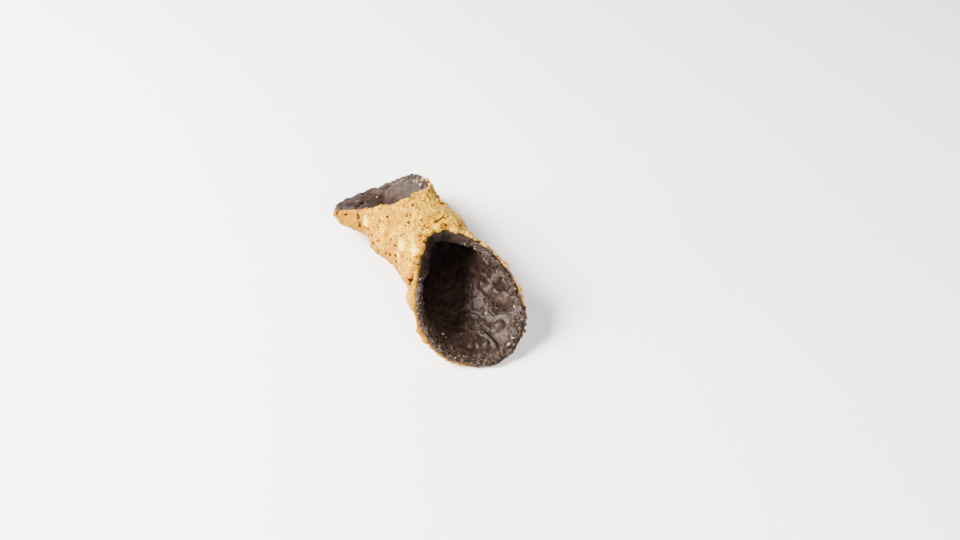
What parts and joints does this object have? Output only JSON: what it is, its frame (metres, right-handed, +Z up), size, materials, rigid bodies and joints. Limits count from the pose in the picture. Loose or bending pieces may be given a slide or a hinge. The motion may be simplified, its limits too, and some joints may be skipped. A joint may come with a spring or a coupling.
{
  "type": "cannoli shell",
  "caption": "Fried pastry tube with flared slanting mouths, rolled with an overlap, coated inside and over the rims with dark chocolate, empty of cream.",
  "frame": {"origin": "on the floor under the middle of the roll's box", "axes": "+Y along the roll from the wider front mouth to the back mouth, +X to the right seen from the front, +Z up"},
  "size_m": [0.0562, 0.1502, 0.0445],
  "materials": {
    "fried_pastry": "matt, blistered and pitted",
    "dark_chocolate": "satin, bumpy"
  },
  "bodies": {
    "root": {"pastry_shell": "fried_pastry", "chocolate_lining": "dark_chocolate"}
  },
  "joints": []
}
